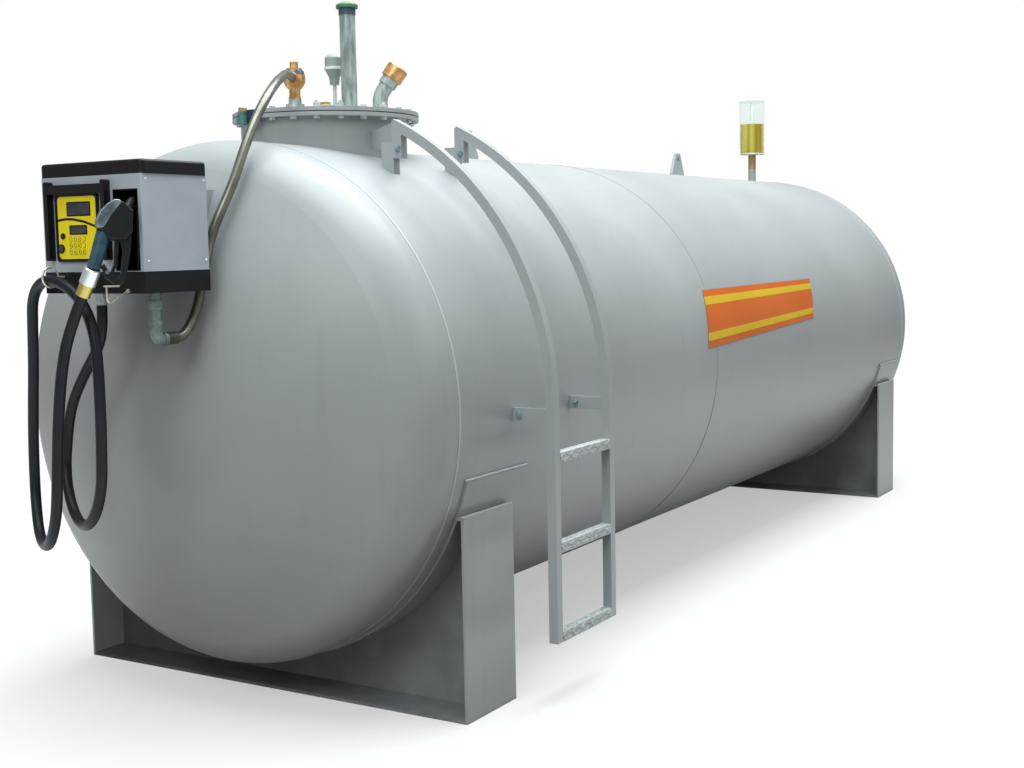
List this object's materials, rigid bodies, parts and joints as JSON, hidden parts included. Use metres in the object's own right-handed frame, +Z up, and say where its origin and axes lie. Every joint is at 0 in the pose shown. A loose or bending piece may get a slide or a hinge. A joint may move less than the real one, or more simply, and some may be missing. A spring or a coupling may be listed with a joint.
{
  "type": "fuel storage tank",
  "caption": "Horizontal double-walled steel storage tank on saddles, with bolted manhole, curved ladder, leak indicator and a hose dispenser on one dished end.",
  "frame": {"origin": "on the ground under the middle of the front saddle's base plate, the saddle nearer the dispenser", "axes": "+X runs along the tank from the dispenser end to the other end, the ladder is on the -Y side, +Z is up"},
  "size_m": [5.5424, 1.7525, 2.191],
  "materials": {
    "tank_paint": "semi-gloss light grey paint",
    "saddle_paint": "semi-gloss light grey paint",
    "ladder_zinc": "satin grey paint",
    "zinc_pipe": "galvanised",
    "brass": "cast, dull",
    "green_cap": "dark green paint",
    "gauge_plastic": "gloss",
    "glass": "clear",
    "test_fluid": "clear yellow liquid",
    "gasket": "matt",
    "black_metal": "satin black powder coat",
    "silver_metal": "satin silver powder coat",
    "keypad": "matt",
    "hose_rubber": "matt",
    "bright_steel": "zinc plated",
    "nozzle_metal": "satin"
  },
  "bodies": {
    "root": {"control_panel": "keypad", "dispenser_base": "black_metal", "dispenser_bracket": "tank_paint", "dispenser_housing": "silver_metal", "dispenser_lid": "black_metal", "dispensing_hose": "hose_rubber", "fill_cap": "brass", "fill_pipe": "zinc_pipe", "front_head": "tank_paint", "front_lifting_lug": "tank_paint", "front_saddle_base": "saddle_paint", "front_saddle_left_plate": "saddle_paint", "front_saddle_pad": "saddle_paint", "front_saddle_right_plate": "saddle_paint", "front_saddle_web": "saddle_paint", "hose_hook": "bright_steel", "hose_outlet": "bright_steel", "hose_swivel": "bright_steel", "ladder_brace": "tank_paint", "ladder_front_foot": "tank_paint", "ladder_front_stringer": "ladder_zinc", "ladder_front_tie": "tank_paint", "ladder_rear_foot": "tank_paint", "ladder_rear_stringer": "ladder_zinc", "ladder_rear_tie": "tank_paint", "ladder_tread_1": "ladder_zinc", "ladder_tread_2": "ladder_zinc", "ladder_tread_3": "ladder_zinc", "leak_fluid": "test_fluid", "leak_standpipe": "zinc_pipe", "leak_vessel": "glass", "leak_vessel_cover": "glass", "level_gauge": "gauge_plastic", "lid_plug": "zinc_pipe", "manhole_flange": "tank_paint", "manhole_gasket": "gasket", "manhole_lid": "tank_paint", "manhole_neck": "tank_paint", "nozzle": "nozzle_metal", "nozzle_holster": "black_metal", "nozzle_rest": "bright_steel", "panel_hood": "black_metal", "rear_head": "tank_paint", "rear_lifting_lug": "tank_paint", "rear_saddle_base": "saddle_paint", "rear_saddle_left_plate": "saddle_paint", "rear_saddle_pad": "saddle_paint", "rear_saddle_right_plate": "saddle_paint", "rear_saddle_web": "saddle_paint", "sensor_socket": "green_cap", "shell_front_course": "tank_paint", "shell_rear_course": "tank_paint", "suction_elbow": "zinc_pipe", "suction_pipe": "zinc_pipe", "suction_valve": "brass", "suction_valve_foot": "zinc_pipe", "vent_cap": "green_cap", "vent_pipe": "zinc_pipe"}
  },
  "joints": []
}
